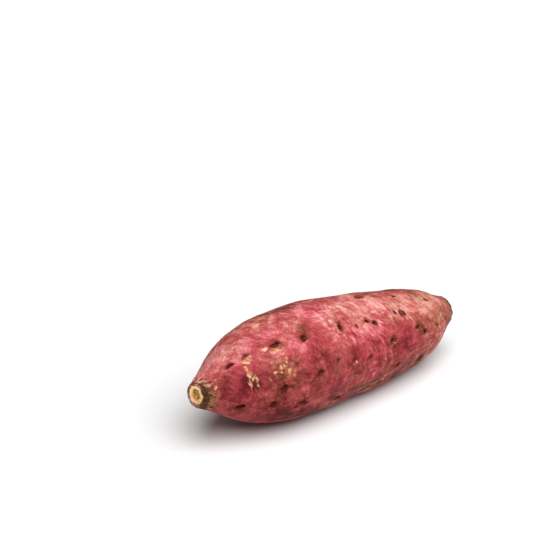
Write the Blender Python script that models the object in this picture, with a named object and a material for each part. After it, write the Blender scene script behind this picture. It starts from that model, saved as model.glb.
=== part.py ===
"""Sweet potato: one storage root, trimmed at the stem end and snapped off at the tail, lying on its belly.

Metres, +Z up. The length runs along X, with the stem end at -X and the tail at +X. A place on the root is
its share of the length from the stem end and its angle around: 0 degrees is the top, 90 the front at -Y,
180 the belly that it rests on and 270 the back.
"""

import math
import random

import bmesh
import bpy
import numpy as np
from mathutils import Matrix, Vector, noise

LENGTH = 0.172

# The outline: share of the length, and the mean radius there. Fattest at two fifths, then a long taper.
GIRTH = (
    (0.00, 0.0062),
    (0.03, 0.0091),
    (0.08, 0.0147),
    (0.15, 0.0216),
    (0.24, 0.0262),
    (0.38, 0.0284),
    (0.52, 0.0266),
    (0.66, 0.0250),
    (0.80, 0.0209),
    (0.90, 0.0163),
    (0.96, 0.0109),
    (1.00, 0.0078),
)

# The root lies tail-down by this much, so that its weight stands over the flat of its belly.
PITCH = math.radians(2.8)
# Its heart line also waves up and down: share of the length, and height off the straight line.
HEART_WAVE = (
    (0.0, -0.0019),
    (0.2, -0.0005),
    (0.4, 0.0003),
    (0.6, -0.0004),
    (0.8, -0.0009),
    (1.0, 0.0005),
)
# It bends a little to the front near the tail.
BEND_FRONT = 0.0018
BEND_AT, BEND_SPREAD = 0.80, 0.20

# The section is a soft, slowly turning lobed round: waves around, share of the radius, first crest, turn.
LOBES = (
    (2, 0.020, math.radians(70), 0.9),
    (3, 0.014, math.radians(20), -1.3),
    (5, 0.007, math.radians(140), 0.7),
)
SWELL_HEIGHT = 0.0011
SWELL_SIZE = 0.026
# Lobes, swells and furrows die away where the root is thinner than this radius.
FULL_RADIUS = 0.020

# Furrows along the root: angle around, share of the length at the middle, half length as a share, depth.
FURROWS = (
    (math.radians(24), 0.62, 0.22, 0.0007),
    (math.radians(118), 0.70, 0.20, 0.0006),
    (math.radians(292), 0.38, 0.24, 0.0008),
)
FURROW_HALF_WIDTH = 0.0034

# The belly is flattened this deep where it rests.
FLAT_DEPTH = 0.0008

RINGS = 50
SEGMENTS = 52
# How far the rings crowd towards the ends: 0 is even, 1 is as close as on a half circle.
RING_CROWDING = 0.55

# The trimmed stem end: rings from the skin's edge to the middle, as radius and how far out along the root.
STEM_FACE = (
    (0.0056, -0.0002),
    (0.0050, 0.0005),
    (0.0021, 0.0004),
    (0.0013, -0.0008),
)
# The cut is slanted: it faces a little to the front and up. The skin's first rings lean with it.
STEM_TURN_FRONT = math.radians(7)
STEM_TURN_UP = math.radians(3)
LEANING_RINGS = 4
# The snapped tail: a ragged rim round a shallow hollow.
TAIL_FACE = (
    (0.0074, 0.0006),
    (0.0060, -0.0002),
    (0.0036, -0.0011),
    (0.0014, -0.0009),
)
TAIL_RAGGED = 0.0010
TAIL_GRAIN = 0.0035

# The eyes are slit scars where side roots grew. These are the front's, from the stem end to the tail: share
# of the length, degrees around, length of the slit in millimetres, and the degrees it turns from straight
# round the root.
FRONT_EYES = (
    (0.086, 25, 3.0, 80),
    (0.086, 111, 4.2, -65),
    (0.130, 29, 2.6, 85),
    (0.168, 104, 4.4, -75),
    (0.196, 85, 4.6, -78),
    (0.215, 35, 5.4, 80),
    (0.246, 63, 2.2, -80),
    (0.258, 108, 4.2, 87),
    (0.300, 41, 4.8, -67),
    (0.314, 80, 4.4, -82),
    (0.384, 73, 2.8, -72),
    (0.404, 120, 3.4, 83),
    (0.441, 42, 4.8, 0),
    (0.457, 80, 4.2, -82),
    (0.511, 45, 2.2, 10),
    (0.523, 82, 2.8, -72),
    (0.556, 43, 3.0, 88),
    (0.583, 47, 3.0, 50),
    (0.607, 6, 4.6, 88),
    (0.624, 73, 4.8, -73),
    (0.643, 104, 3.8, -70),
    (0.687, 38, 2.8, 5),
    (0.715, 42, 3.6, 0),
    (0.739, 12, 2.5, 60),
    (0.755, 66, 2.8, 88),
    (0.759, 115, 3.6, -54),
    (0.789, 76, 3.4, 80),
    (0.856, 76, 2.6, 20),
    (0.859, 28, 3.2, 38),
)
# On the back and the top the eyes stand in rows, as the side roots do.
BACK_ROWS = (205, 248, 286, 325)
EYES_IN_ROW = 7
ROW_START, ROW_END = 0.12, 0.93
ROW_JITTER_DEGREES = 12
ROW_JITTER_SHARE = 0.035
BACK_EYE_LENGTHS = (2.4, 4.8)
BACK_EYE_TURNS = (30, 120)
# A slit's width and depth as shares of its length, and how far its middle stands off the skin.
EYE_WIDTH = 0.42
EYE_DEPTH = 0.26
EYE_PROUD = 0.0002
EYE_SEED = 11

SKIN_COLOUR = "#B4505B"
CUT_COLOUR = "#E8C78A"
BARK_COLOUR = "#4A2B1A"


def linear(hex_colour):
    """An sRGB hex colour as linear red, green, blue and alpha."""
    parts = [int(hex_colour[i : i + 2], 16) / 255 for i in (1, 3, 5)]
    return [p / 12.92 if p <= 0.04045 else ((p + 0.055) / 1.055) ** 2.4 for p in parts] + [1.0]


def material(name, colour, roughness):
    made = bpy.data.materials.new(name)
    made.use_nodes = True
    shader = made.node_tree.nodes["Principled BSDF"]
    shader.inputs["Base Color"].default_value = linear(colour)
    shader.inputs["Roughness"].default_value = roughness
    shader.inputs["Metallic"].default_value = 0.0
    made.diffuse_color = linear(colour)
    return made


def smooth_through(points, at):
    """The height at `at` of a smooth curve through (place, height) points."""
    places = [p[0] for p in points]
    heights = [p[1] for p in points]
    rises = [(heights[i + 1] - heights[i]) / (places[i + 1] - places[i]) for i in range(len(points) - 1)]
    slopes = [rises[0]] + [(a + b) / 2 for a, b in zip(rises, rises[1:])] + [rises[-1]]
    i = min(max(int(np.searchsorted(places, at)) - 1, 0), len(rises) - 1)
    span = places[i + 1] - places[i]
    u = (at - places[i]) / span
    return (
        heights[i] * (1 + 2 * u) * (1 - u) ** 2
        + slopes[i] * span * u * (1 - u) ** 2
        + heights[i + 1] * (3 - 2 * u) * u * u
        + slopes[i + 1] * span * u * u * (u - 1)
    )


def bump(at, middle, half):
    """A smooth rise to 1 at the middle, down to nothing at half away."""
    away = min(abs(at - middle) / half, 1.0)
    return (1 - away * away) ** 2


def outward(around):
    return Vector((0.0, -math.sin(around), math.cos(around)))


def heart(share):
    """The middle of the section at this share of the length."""
    x = (share - 0.5) * LENGTH
    bend = math.exp(-(((share - BEND_AT) / BEND_SPREAD) ** 2))
    return Vector((x, -BEND_FRONT * bend, smooth_through(HEART_WAVE, share) - x * math.tan(PITCH)))


def turn_between(a, b):
    """The angle from a to b, the short way."""
    return abs((a - b + math.pi) % (2 * math.pi) - math.pi)


def radius(share, around):
    """The skin's distance from the heart line."""
    mean = smooth_through(GIRTH, share)
    body = min(1.0, mean / FULL_RADIUS)
    lobes = sum(size * math.cos(n * (around - crest) - turn * share) for n, size, crest, turn in LOBES)
    spot = Vector(((share - 0.5) * LENGTH, 0.0, 0.0)) + outward(around) * mean
    swell = SWELL_HEIGHT * noise.noise(spot / SWELL_SIZE)
    furrow = sum(
        depth * bump(share, middle, half) * bump(turn_between(around, line) * mean, 0.0, FURROW_HALF_WIDTH)
        for line, middle, half, depth in FURROWS
    )
    return mean * (1 + lobes * body) + (swell - furrow) * body


def skin(share, around):
    """A point of the skin, before the root is set down."""
    return heart(share) + outward(around) * radius(share, around)


def stem_cut(point):
    """How far along X the stem's slanted cut lies here, from its own middle."""
    return point.z * math.tan(STEM_TURN_UP) - point.y * math.tan(STEM_TURN_FRONT)


def ring_shares():
    """Shares of the length for the rings, closer together towards both ends."""
    even = np.linspace(0.0, 1.0, RINGS)
    return (1 - RING_CROWDING) * even + RING_CROWDING * (1 - np.cos(np.pi * even)) / 2


def angles():
    return [2 * math.pi * i / SEGMENTS for i in range(SEGMENTS)]


def body_rings():
    """The rings of the skin from the stem end to the tail."""
    rings = [[skin(share, around) for around in angles()] for share in ring_shares()]
    middle = heart(0.0)
    for depth, ring in enumerate(rings[:LEANING_RINGS]):
        for point in ring:
            point.x += stem_cut(point - middle) * (1 - depth / LEANING_RINGS)
    return rings


def face_rings(share, steps, way, ragged=0.0):
    """The rings that close an end, from its rim inwards. way is -1 at the stem and 1 at the tail."""
    rings = []
    edge = smooth_through(GIRTH, share)
    for across, out in steps:
        ring = []
        for around in angles():
            side = outward(around) * across
            torn = ragged * noise.noise(side / TAIL_GRAIN)
            point = heart(share) + side * radius(share, around) / edge
            point.x += way * (out + torn)
            if way < 0:
                point.x += stem_cut(point - heart(share))
            ring.append(point)
        rings.append(ring)
    return rings


def set_down(rings):
    """The move that stands the root on its flattened belly with its box centred over the origin."""
    points = np.array([point for ring in rings for point in ring])
    low, high = points.min(axis=0), points.max(axis=0)
    return Vector((-(low[0] + high[0]) / 2, -(low[1] + high[1]) / 2, -(low[2] + FLAT_DEPTH)))


def skin_band(mesh, ring_a, ring_b, slot):
    """One band of faces between two rings."""
    for i in range(SEGMENTS):
        j = (i + 1) % SEGMENTS
        face = mesh.faces.new((ring_a[i], ring_a[j], ring_b[j], ring_b[i]))
        face.material_index = slot
        face.smooth = True


def end_cap(mesh, ring, slot):
    """A fan that closes an end."""
    middle = mesh.verts.new(sum((v.co for v in ring), Vector()) / len(ring))
    for i in range(SEGMENTS):
        face = mesh.faces.new((ring[i], ring[(i + 1) % SEGMENTS], middle))
        face.material_index = slot


def root_body(stem, sides, tail, move):
    """The root as one closed mesh: skin, stem face and tail face. Slots: 0 skin, 1 cut face, 2 bark."""
    mesh = bmesh.new()
    order = stem[::-1] + sides + tail
    slots = [2, 1, 2, 2] + [0] * (len(sides) - 1) + [2] * len(tail)
    rings = []
    for ring in order:
        placed = [point + move for point in ring]
        rings.append([mesh.verts.new((p.x, p.y, max(p.z, 0.0))) for p in placed])
    for (ring_a, ring_b), slot in zip(zip(rings, rings[1:]), slots):
        skin_band(mesh, ring_a, ring_b, slot)
    end_cap(mesh, rings[0], 2)
    end_cap(mesh, rings[-1], 2)
    bmesh.ops.recalc_face_normals(mesh, faces=mesh.faces)
    return mesh


def back_eyes():
    """Eyes in rows over the back and the top, each jittered a little, in the same form as FRONT_EYES."""
    chance = random.Random(EYE_SEED)
    eyes = []
    for row, degrees in enumerate(BACK_ROWS):
        for i in range(EYES_IN_ROW):
            stagger = 0.5 * (row % 2)
            share = ROW_START + (ROW_END - ROW_START) * (i + stagger) / (EYES_IN_ROW - 0.5)
            eyes.append(
                (
                    share + chance.uniform(-1, 1) * ROW_JITTER_SHARE,
                    degrees + chance.uniform(-1, 1) * ROW_JITTER_DEGREES,
                    chance.uniform(*BACK_EYE_LENGTHS),
                    chance.uniform(*BACK_EYE_TURNS),
                )
            )
    return eyes


def eye_frame(share, around, turn, move):
    """A matrix on the skin: X along the slit, Z straight out."""
    step = 0.004
    along = skin(share + step, around) - skin(share - step, around)
    across = skin(share, around + step) - skin(share, around - step)
    out = along.cross(across).normalized()
    if out.dot(outward(around)) < 0:
        out = -out
    slit = (across.normalized() * math.cos(turn) + along.normalized() * math.sin(turn)).normalized()
    side = out.cross(slit)
    frame = Matrix((slit, side, out)).transposed().to_4x4()
    frame.translation = skin(share, around) + move + out * EYE_PROUD
    return frame


def eye_cutters(move):
    """Small lens shapes, one for each eye, that sink the slits into the skin."""
    mesh = bmesh.new()
    for share, degrees, length_mm, turn_degrees in list(FRONT_EYES) + back_eyes():
        length = length_mm / 1000
        size = Matrix.Diagonal((length / 2, length * EYE_WIDTH / 2, length * EYE_DEPTH + EYE_PROUD, 1.0))
        frame = eye_frame(share, math.radians(degrees), math.radians(turn_degrees), move)
        bmesh.ops.create_icosphere(mesh, subdivisions=2, radius=1.0, matrix=frame @ size)
    for face in mesh.faces:
        face.material_index = 2
    return mesh


def make_object(name, mesh, materials):
    data = bpy.data.meshes.new(name)
    mesh.to_mesh(data)
    mesh.free()
    for made in materials:
        data.materials.append(made)
    obj = bpy.data.objects.new(name, data)
    bpy.context.scene.collection.objects.link(obj)
    return obj


def main():
    for old in list(bpy.data.objects):
        bpy.data.objects.remove(old)
    finishes = [
        material("rose_skin", SKIN_COLOUR, 0.55),
        material("cut_flesh", CUT_COLOUR, 0.75),
        material("corky_bark", BARK_COLOUR, 0.9),
    ]
    stem = face_rings(0.0, STEM_FACE, -1)
    tail = face_rings(1.0, TAIL_FACE, 1, TAIL_RAGGED)
    sides = body_rings()
    move = set_down(stem + sides + tail)
    root = make_object("sweet_potato", root_body(stem, sides, tail, move), finishes)
    cutters = make_object("eye_cutters", eye_cutters(move), finishes)
    cutters.hide_render = True
    cutters.display_type = "WIRE"
    carve = root.modifiers.new("eyes", "BOOLEAN")
    carve.operation = "DIFFERENCE"
    carve.solver = "EXACT"
    carve.object = cutters


main()
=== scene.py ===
"""The sweet potato's looks: its fine skin, eyes, cut stem end and snapped tail, on a pale studio floor.

A place on the root is its share of the length from the stem end and its degrees around: 0 is the top, 90 the
front at -Y, 180 the belly and 270 the back. Lengths are in metres, unless a name ends in _mm.
"""

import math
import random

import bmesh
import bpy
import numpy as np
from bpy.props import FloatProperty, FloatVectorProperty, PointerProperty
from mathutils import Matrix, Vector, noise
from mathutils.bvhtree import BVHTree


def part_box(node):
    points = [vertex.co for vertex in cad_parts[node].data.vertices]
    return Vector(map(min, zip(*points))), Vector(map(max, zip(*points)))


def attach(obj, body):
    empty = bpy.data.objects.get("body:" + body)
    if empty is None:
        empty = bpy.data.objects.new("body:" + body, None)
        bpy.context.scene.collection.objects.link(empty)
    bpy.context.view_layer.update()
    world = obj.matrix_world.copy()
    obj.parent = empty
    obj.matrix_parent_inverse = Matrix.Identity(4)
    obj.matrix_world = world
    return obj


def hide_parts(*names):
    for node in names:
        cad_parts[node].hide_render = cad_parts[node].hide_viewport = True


bl_info = {
    "name": "Sweet potato",
    "version": (1, 0, 0),
    "blender": (4, 5, 0),
    "location": "3D View > Sidebar > Sweet potato",
    "description": "Grows a sweet potato's fine skin over its packed solid and lays it on a pale floor",
    "category": "Object",
}

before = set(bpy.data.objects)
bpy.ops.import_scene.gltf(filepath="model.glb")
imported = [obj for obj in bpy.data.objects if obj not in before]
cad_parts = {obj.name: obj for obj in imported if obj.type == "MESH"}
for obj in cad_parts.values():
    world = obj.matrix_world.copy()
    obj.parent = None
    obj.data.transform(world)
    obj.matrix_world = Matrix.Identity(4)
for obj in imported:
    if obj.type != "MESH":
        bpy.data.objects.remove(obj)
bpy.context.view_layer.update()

NODE = "sweet_potato"
BODY = "root"
MM = 0.001

# The skin is rings of cells from the stem end to the tail. Cells at eyes and marks are cut in four.
CELLS_ALONG = 262
CELLS_AROUND = 280
END_RINGS = 16
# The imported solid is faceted. Its radius is averaged over this much of a turn and of the length.
FACET_DEGREES = 4.2
FACET_LENGTH = 0.0023
# A place this much lower than what lies round it, over this reach, belongs to an eye.
EYE_REACH = 0.0018
EYE_STEP = 0.00018
EYE_CELLS = 10
# A place is clear of the eyes where this share of the cells round it is, out to this many cells.
CLEAR_SHARE = 0.93
CLEAR_CELLS = 2.0
LEAST_CLEAR = 0.02
# Rays find the heart line at so many places, in so many rounds, and a curve of this degree joins them.
HEART_PLACES = 33
HEART_ROUNDS = 3
HEART_DEGREE = 5
HEART_INSET = 0.004
# Rays find the sides from this far out. The sides end where they come nearer to the heart line than a rim.
FAR_OUT = 0.05
STEM_RIM_RADIUS = 0.0059
TAIL_RIM_RADIUS = 0.0072
RIM_INSET = 0.00012
RIM_SEARCH_IN = 0.005
RIM_SEARCH_OUT = 0.001
RIM_HALVINGS = 14
RIM_SOFTENING = 4

# How the eyes in view look: share, degrees, then from 0 to 1 how dark the slit is, how open its scar is, how
# much cork lies round it and how tan it is. The last is the steep brow's side: 1 up or tailwards, -1 down.
EYES_IN_VIEW = (
    (0.086, 25, 0.8, 0.1, 0.5, 0.2, 1),
    (0.086, 111, 1.0, 0.1, 0.6, 0.1, -1),
    (0.130, 29, 0.6, 0.4, 0.7, 0.8, 1),
    (0.168, 104, 1.0, 0.2, 0.9, 0.1, 1),
    (0.196, 85, 0.8, 0.3, 0.7, 0.1, 1),
    (0.215, 35, 0.9, 0.8, 0.7, 0.7, 1),
    (0.246, 63, 0.6, 0.6, 0.5, 0.4, 1),
    (0.258, 108, 0.7, 0.3, 0.7, 0.1, 1),
    (0.300, 41, 1.0, 0.5, 1.0, 0.4, 1),
    (0.314, 80, 0.7, 0.3, 0.6, 0.0, 1),
    (0.384, 73, 0.8, 0.3, 0.9, 0.1, 1),
    (0.404, 120, 0.8, 0.1, 0.6, 0.0, 1),
    (0.441, 42, 1.0, 0.1, 0.7, 0.0, -1),
    (0.457, 80, 0.5, 0.5, 0.5, 0.4, 1),
    (0.511, 45, 0.9, 0.1, 0.5, 0.0, 1),
    (0.523, 82, 0.6, 0.3, 0.8, 0.1, 1),
    (0.556, 43, 1.0, 0.5, 1.0, 0.5, 1),
    (0.583, 47, 1.0, 0.4, 1.0, 0.4, 1),
    (0.607, 6, 0.7, 0.4, 0.8, 0.2, 1),
    (0.624, 73, 0.8, 0.6, 1.0, 0.5, 1),
    (0.643, 104, 0.8, 0.3, 0.8, 0.1, 1),
    (0.687, 38, 0.9, 0.2, 0.5, 0.0, 1),
    (0.715, 42, 1.0, 0.5, 0.9, 0.3, 1),
    (0.739, 12, 0.8, 0.1, 0.5, 0.0, 1),
    (0.755, 66, 0.9, 0.2, 0.25, 0.2, 1),
    (0.759, 115, 1.0, 0.2, 0.8, 0.1, 1),
    (0.789, 76, 1.0, 0.4, 0.25, 0.5, 1),
    (0.856, 76, 0.8, 0.2, 0.6, 0.2, 1),
    (0.859, 28, 1.0, 0.1, 0.4, 0.0, 1),
)
EYE_SEED = 5
# An eye takes the look of one in the table that lies no further off than this, on a root of this radius.
LOOK_REACH_MM = 5.0
MEAN_RADIUS = 0.025

# Scrapes where the red skin is gone: share, degrees, length_mm, width_mm, and its turn from straight round.
SCRAPES = (
    (0.027, 56, 3.9, 1.1, -37),
    (0.036, 36, 1.4, 1.3, -70),
    (0.107, 70, 6.6, 1.6, -1),
    (0.110, 45, 3.6, 1.8, -3),
    (0.111, 56, 4.2, 2.3, -7),
    (0.118, 63, 3.6, 1.3, -43),
    (0.119, 37, 3.6, 2.9, 71),
    (0.125, 69, 5.6, 1.4, 0),
    (0.157, 71, 3.4, 0.8, 20),
    (0.176, 65, 1.8, 1.4, -80),
    (0.181, 35, 3.3, 1.6, -80),
    (0.193, 68, 2.2, 1.5, -48),
    (0.196, 63, 2.8, 1.6, 0),
    (0.206, 43, 3.6, 1.6, 80),
    (0.206, 62, 2.4, 1.0, 10),
    (0.213, 0, 3.4, 2.2, 79),
    (0.216, 58, 4.2, 1.1, -20),
    (0.216, 69, 2.7, 2.4, -67),
    (0.225, 73, 2.4, 1.0, 20),
    (0.324, 301, 5.0, 1.4, 20),
    (0.458, 84, 2.5, 1.3, -51),
    (0.582, 120, 7.0, 1.0, -84),
    (0.601, 47, 4.0, 0.8, 30),
    (0.614, 115, 5.0, 0.9, -80),
    (0.630, 77, 2.4, 1.0, 52),
    (0.661, 349, 8.6, 1.1, -84),
)
# Short dark dabs of cork, in the same form.
DABS = (
    (0.078, 28, 4.2, 1.7, 87),
    (0.081, 111, 4.6, 3.0, -63),
    (0.119, 10, 1.3, 1.3, 36),
    (0.122, 31, 3.0, 1.2, 74),
    (0.163, 108, 6.0, 2.6, -88),
    (0.175, 93, 4.4, 3.0, -72),
    (0.193, 89, 5.2, 2.6, -60),
    (0.210, 36, 5.0, 1.9, 80),
    (0.235, 89, 3.8, 1.6, -87),
    (0.238, 114, 4.0, 1.8, 86),
    (0.261, 110, 3.2, 1.7, -81),
    (0.282, 87, 6.0, 2.0, -62),
    (0.295, 43, 4.2, 3.2, 17),
    (0.308, 79, 5.0, 2.4, -74),
    (0.380, 75, 4.0, 3.2, -54),
    (0.425, 128, 5.2, 1.4, -78),
    (0.430, 84, 5.0, 1.9, 64),
    (0.442, 42, 6.6, 2.8, -16),
    (0.450, 79, 8.0, 1.6, -47),
    (0.474, 97, 4.6, 1.1, 75),
    (0.507, 47, 2.6, 1.6, -3),
    (0.520, 85, 3.2, 1.9, -45),
    (0.556, 44, 4.5, 2.6, 44),
    (0.585, 48, 3.4, 2.6, 23),
    (0.604, 8, 5.6, 2.2, -85),
    (0.622, 45, 3.4, 1.3, 32),
    (0.624, 74, 6.0, 4.2, -57),
    (0.649, 108, 4.0, 1.6, -18),
    (0.687, 41, 3.2, 1.5, 20),
    (0.717, 43, 4.2, 3.0, 3),
    (0.738, 13, 3.8, 2.2, -82),
    (0.758, 66, 3.6, 1.3, 61),
    (0.773, 121, 5.3, 3.2, 78),
    (0.781, 76, 3.6, 1.3, 58),
    (0.807, 19, 4.3, 1.0, 28),
    (0.854, 78, 1.6, 1.4, -20),
    (0.860, 30, 3.2, 1.5, 49),
)
# The black-brown pits of the deepest eyes, in the same form. Their dark paint is the eyes' own brown and
# also a painted shade of the holes.
PITS = (
    (0.078, 28, 3.2, 1.3, 87),
    (0.081, 111, 4.2, 2.4, -63),
    (0.163, 108, 4.6, 1.7, -88),
    (0.193, 89, 3.6, 1.5, -60),
    (0.210, 37, 3.6, 1.1, 80),
    (0.238, 114, 2.8, 1.1, 86),
    (0.295, 44, 3.2, 2.0, 17),
    (0.425, 128, 3.4, 1.0, -78),
    (0.442, 42, 4.8, 1.7, -16),
    (0.507, 47, 2.0, 1.2, -3),
    (0.556, 44, 2.8, 1.4, 44),
    (0.585, 48, 2.8, 1.9, 23),
    (0.624, 73, 2.6, 1.4, -57),
    (0.649, 108, 2.4, 1.1, -18),
    (0.687, 41, 2.7, 1.2, 20),
    (0.722, 44, 3.3, 1.8, 3),
    (0.738, 13, 2.6, 1.2, -82),
    (0.758, 66, 2.5, 1.2, 61),
    (0.770, 117, 6.5, 5.4, 8),
    (0.781, 76, 2.6, 1.3, 58),
    (0.854, 78, 1.5, 1.1, -20),
    (0.860, 30, 2.5, 1.2, 49),
)
# The marks of each kind: what they paint, those in view, how many lie behind, how torn they are, depth_mm.
MARKS = (
    ("scrape", SCRAPES, 18, 0.6, 0.08),
    ("cork", DABS, 18, 0.6, 0.12),
    ("slit", PITS, 0, 0.3, 0.55),
)
MARK_SEED = 21
MARK_REACH = 2.5
MARK_TEAR_MM = 1.6

# Low ridges that bow round the root: share, first and last degrees, how far they bow along it, height_mm.
CREASES = (
    (0.395, 8, 58, 0.030, 0.20),
    (0.470, 30, 88, 0.028, 0.16),
    (0.585, 52, 112, 0.034, 0.22),
    (0.610, 60, 116, 0.030, 0.18),
    (0.655, 20, 70, 0.020, 0.14),
    (0.810, 340, 44, 0.018, 0.26),
    (0.870, 40, 110, 0.014, 0.22),
    (0.905, 60, 130, 0.010, 0.20),
    (0.300, 200, 262, 0.024, 0.18),
    (0.520, 230, 296, 0.030, 0.20),
    (0.700, 262, 330, 0.024, 0.20),
    (0.850, 210, 290, 0.016, 0.22),
)
CREASE_WIDTH = 0.0011

# Patches of skin: share, degrees, half their length in mm along the root and round it, how much paler (or
# darker, below 0) and how much browner. The darker patches low on the front, at 105 to 140 degrees, are
# painted shade of the underside. The darker ones at 340 to 350 degrees, near a third of the way along and
# towards the tail, are partly painted shadow of a root that lay beside it. The pale ones over the top at the
# stem end are partly a painted rim highlight.
PATCHES = (
    (0.035, 335, 5, 6, 0.20, 0.00),
    (0.04, 62, 6, 9, -0.16, 0.15),
    (0.066, 46, 4, 8, -0.10, 0.00),
    (0.07, 0, 13, 13, 0.08, 0.00),
    (0.08, 60, 5, 5, -0.14, 0.00),
    (0.08, 70, 9, 9, -0.14, 0.10),
    (0.088, 38, 3, 3, 0.14, 0.00),
    (0.12, 10, 6, 4, 0.15, 0.00),
    (0.12, 62, 8, 7, -0.05, 0.10),
    (0.127, 26, 4, 4, 0.12, 0.00),
    (0.13, 84, 12, 9, -0.16, 0.10),
    (0.137, 102, 6, 5, 0.16, 0.00),
    (0.141, 65, 4, 4, -0.18, 0.00),
    (0.165, 33, 5, 4, -0.20, 0.00),
    (0.165, 136, 7, 4, -0.14, 0.00),
    (0.20, 90, 16, 7, -0.10, 0.20),
    (0.21, 124, 9, 7, -0.16, 0.00),
    (0.212, 66, 6, 5, 0.00, 0.70),
    (0.22, 20, 14, 10, 0.04, 0.00),
    (0.24, 128, 18, 6, -0.06, 0.30),
    (0.24, 232, 16, 14, -0.12, 0.10),
    (0.243, 61, 4, 4, -0.14, 0.00),
    (0.254, 132, 5, 3, -0.10, 0.00),
    (0.26, 124, 18, 9, -0.22, 0.05),
    (0.295, 55, 5, 4, 0.16, 0.00),
    (0.30, 12, 8, 6, 0.09, 0.00),
    (0.30, 300, 22, 12, 0.08, 0.00),
    (0.30, 344, 30, 7, -0.04, 0.40),
    (0.310, 33, 3, 4, -0.24, 0.75),
    (0.312, 346, 9, 6, -0.25, 0.45),
    (0.322, 67, 5, 7, -0.30, 0.00),
    (0.326, 44, 4, 3, -0.10, 0.00),
    (0.36, 78, 16, 8, -0.12, 0.15),
    (0.381, 89, 4, 4, 0.10, 0.00),
    (0.40, 108, 26, 7, -0.08, 0.10),
    (0.41, 32, 6, 5, 0.14, 0.00),
    (0.44, 258, 12, 8, -0.06, 0.40),
    (0.45, 70, 8, 5, -0.09, 0.00),
    (0.466, 42, 4, 4, -0.14, 0.00),
    (0.467, 5, 6, 7, -0.18, 0.00),
    (0.49, 16, 20, 11, 0.08, 0.00),
    (0.50, 130, 26, 9, -0.18, 0.10),
    (0.508, 35, 5, 4, -0.18, 0.00),
    (0.52, 200, 24, 12, -0.10, 0.10),
    (0.526, 72, 4, 3, -0.12, 0.00),
    (0.555, 55, 9, 4, 0.24, 0.05),
    (0.58, 124, 28, 6, 0.05, 0.62),
    (0.583, 37, 4, 3, -0.14, 0.00),
    (0.60, 28, 20, 12, 0.18, 0.20),
    (0.60, 76, 16, 9, -0.12, 0.05),
    (0.62, 92, 14, 5, -0.10, 0.00),
    (0.62, 348, 24, 7, 0.00, 0.45),
    (0.63, 47, 4, 4, -0.14, 0.30),
    (0.65, 6, 5, 5, -0.18, 0.00),
    (0.657, 67, 4, 4, -0.14, 0.20),
    (0.66, 262, 20, 12, 0.10, 0.10),
    (0.68, 130, 16, 9, -0.20, 0.10),
    (0.69, 52, 4, 4, 0.12, 0.00),
    (0.69, 67, 11, 8, -0.20, 0.00),
    (0.69, 340, 11, 7, -0.22, 0.80),
    (0.72, 24, 18, 12, 0.02, 0.45),
    (0.735, 47, 10, 5, 0.03, 0.10),
    (0.76, 116, 16, 8, 0.02, 0.48),
    (0.78, 236, 14, 10, -0.08, 0.45),
    (0.79, 66, 9, 9, -0.16, 0.35),
    (0.80, 38, 13, 10, 0.14, 0.35),
    (0.80, 344, 12, 8, -0.14, 0.45),
    (0.81, 340, 10, 8, -0.14, 0.75),
    (0.813, 2, 5, 4, -0.14, 0.30),
    (0.86, 24, 14, 14, 0.04, 0.65),
    (0.86, 105, 6, 5, 0.14, 0.00),
    (0.88, 300, 14, 14, 0.06, 0.35),
    (0.89, 29, 8, 5, 0.11, 0.00),
    (0.90, 70, 12, 14, 0.04, 0.55),
    (0.90, 350, 12, 10, -0.12, 0.40),
    (0.92, 68, 8, 8, -0.12, 0.30),
    (0.93, 78, 7, 9, -0.10, 0.30),
    (0.94, 42, 5, 6, 0.14, 0.00),
)
# Where pale growth lines show most, with a painted highlight of the gloss along them: share, degrees, half
# the length in mm along the root and round it.
HIGHLIGHT_LINE_PATCHES = (
    (0.46, 30, 20, 14),
    (0.52, 300, 20, 16),
    (0.60, 60, 18, 18),
)
# Where the skin is fresher and rosier, and where it has dry veins along the root, in the same form.
ROSY_PATCHES = (
    (0.095, 97, 6, 5),
    (0.107, 42, 5, 5),
    (0.162, 24, 6, 5),
    (0.224, 22, 5, 4),
    (0.265, 53, 5, 5),
    (0.337, 45, 8, 7),
    (0.341, 103, 8, 5),
    (0.377, 17, 7, 5),
    (0.456, 56, 6, 4),
    (0.457, 71, 8, 7),
    (0.533, 101, 7, 5),
    (0.689, 80, 9, 7),
)
VEINED_PATCHES = (
    (0.22, 118, 18, 9),
    (0.40, 262, 30, 16),
    (0.42, 124, 30, 9),
    (0.68, 116, 34, 12),
    (0.84, 96, 14, 12),
)
# The growth lines run round the root, but bow along it by this much, most where they pass these degrees.
GROWTH_BOW = 0.018
GROWTH_BOW_DEGREES = 15

# The stem's cut face from its rim to its middle: share of the rim's radius, and height outwards.
STEM_PROFILE = (
    (1.00, 0.0000),
    (0.95, 0.0001),
    (0.89, -0.0002),
    (0.83, 0.0004),
    (0.60, 0.0005),
    (0.38, 0.0004),
    (0.22, -0.0005),
    (0.00, -0.0007),
)
TAIL_PROFILE = (
    (1.00, 0.0000),
    (0.94, 0.0006),
    (0.84, 0.0008),
    (0.55, 0.0012),
    (0.25, 0.0012),
    (0.00, 0.0015),
)
# The pale cut flesh reaches out to this share of the rim's radius. Bark lies round it.
FLESH_SHARE = 0.68
BARK_LENGTH = 0.0052
TAIL_BARK_LENGTH = 0.0042
# Knobs of dried cork round the tail's rim: degrees, width_mm, height_mm.
TAIL_KNOBS = (
    (332, 3.0, 0.5),
    (358, 1.6, 0.3),
    (34, 2.6, 0.3),
    (80, 3.0, 0.3),
    (116, 2.4, 0.2),
    (150, 2.4, 0.4),
    (196, 2.0, 0.5),
    (238, 2.6, 0.3),
    (290, 2.0, 0.4),
)


def linear(hex_colour):
    """An sRGB hex colour as linear red, green, blue and alpha."""
    parts = [int(hex_colour[i : i + 2], 16) / 255 for i in (1, 3, 5)]
    return [p / 12.92 if p <= 0.04045 else ((p + 0.055) / 1.055) ** 2.4 for p in parts] + [1.0]


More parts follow.
